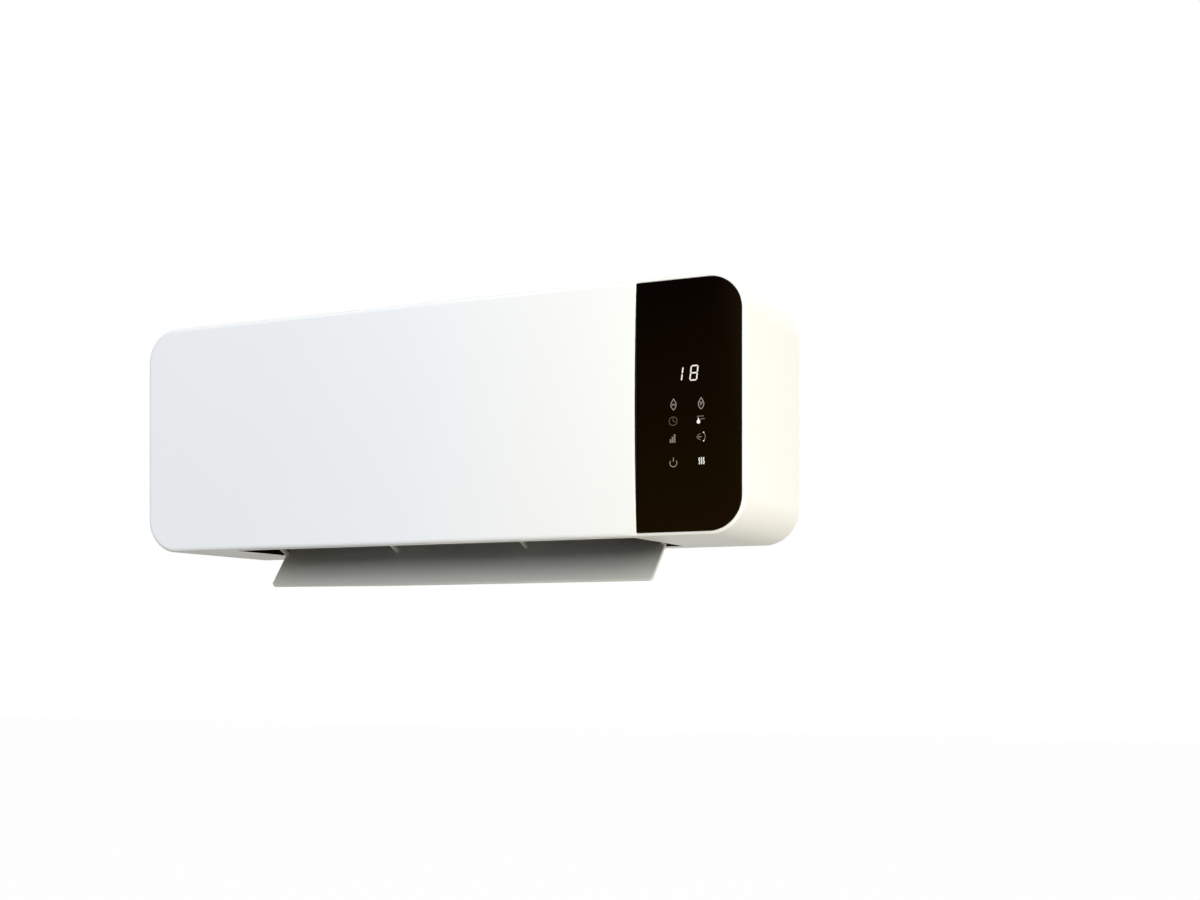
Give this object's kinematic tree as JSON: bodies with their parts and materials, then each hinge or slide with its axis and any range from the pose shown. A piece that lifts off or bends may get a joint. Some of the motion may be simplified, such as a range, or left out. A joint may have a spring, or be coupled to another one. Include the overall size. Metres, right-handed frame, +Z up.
{
  "type": "bathroom wall fan heater",
  "caption": "Long rounded wall fan heater with a crowned white front, a black touch-control glass at its right end and a swinging air louver in its underside.",
  "frame": {"origin": "on the wall plane, at the back of the wall plate, behind the centre of the housing", "axes": "+X to the right seen from the room, +Y into the wall, +Z up"},
  "size_m": [0.54, 0.1333, 0.2199],
  "materials": {
    "white_shell": "fine satin moulded plastic",
    "white_panel": "smooth moulded plastic with a soft gloss",
    "black_glass": "polished black, opaque from behind",
    "black_plastic": "matt",
    "grey_plastic": "matt",
    "heat_proof_plastic": "matt",
    "relay_plastic": "satin",
    "circuit_board": "satin lacquer",
    "lead_red": "satin insulation",
    "lead_blue": "satin insulation",
    "rubber": "matt",
    "zinc_plate": "zinc plated sheet",
    "steel": "plain",
    "aluminium": "plain sheet",
    "bronze": "sintered",
    "copper_winding": "enamelled wire"
  },
  "bodies": {
    "housing": {"front_housing": "white_shell", "front_panel": "white_panel", "control_glass": "black_glass", "inlet_grille": "white_shell", "rear_cover": "white_shell", "wall_plate": "zinc_plate", "cable_grommet": "rubber", "cover_screw_1": "zinc_plate", "cover_screw_2": "zinc_plate", "cover_screw_3": "zinc_plate", "cover_screw_4": "zinc_plate", "outlet_duct": "black_plastic", "louver_bush_left": "grey_plastic", "louver_bush_right": "grey_plastic", "louver_motor": "zinc_plate", "louver_motor_screw_1": "zinc_plate", "louver_motor_screw_2": "zinc_plate", "heater_frame": "heat_proof_plastic", "heater_fins_1": "aluminium", "heater_fins_2": "aluminium", "heater_fins_3": "aluminium", "heater_tube_1": "aluminium", "heater_tube_2": "aluminium", "heater_terminal_1": "steel", "heater_terminal_2": "steel", "scroll_casing": "black_plastic", "scroll_tongue": "black_plastic", "bearing_ring": "rubber", "fan_bearing": "bronze", "motor_stator": "steel", "motor_coil": "copper_winding", "motor_bracket_inner": "zinc_plate", "motor_bracket_outer": "zinc_plate", "motor_screw_1": "zinc_plate", "motor_screw_2": "zinc_plate", "control_board": "circuit_board", "display_module": "black_plastic", "icon_light_guide": "black_plastic", "ir_receiver": "black_glass", "buzzer": "black_plastic", "power_board": "circuit_board", "relay_1": "relay_plastic", "relay_2": "relay_plastic", "supply_transformer": "black_plastic", "terminal_block": "grey_plastic", "thermostat": "black_plastic", "thermal_fuse": "zinc_plate", "room_sensor": "lead_blue", "heater_lead_1": "lead_red", "heater_lead_2": "lead_blue", "motor_lead": "lead_red", "display_lead": "lead_blue"},
    "louver": {"louver": "white_shell", "louver_motor_shaft": "steel"},
    "fan": {"fan_wheel": "black_plastic", "fan_pivot_pin": "steel", "motor_shaft": "steel", "motor_rotor": "steel"}
  },
  "joints": [
    {"name": "louver_swing", "type": "hinge", "parent": "housing", "child": "louver", "pos_m": [0, -0.0599, -0.075], "axis": [1, 0, 0], "range_deg": [-52, 15]},
    {"name": "fan_spin", "type": "hinge", "parent": "housing", "child": "fan", "pos_m": [0, -0.054, 0.02], "axis": [1, 0, 0], "continuous": true}
  ]
}
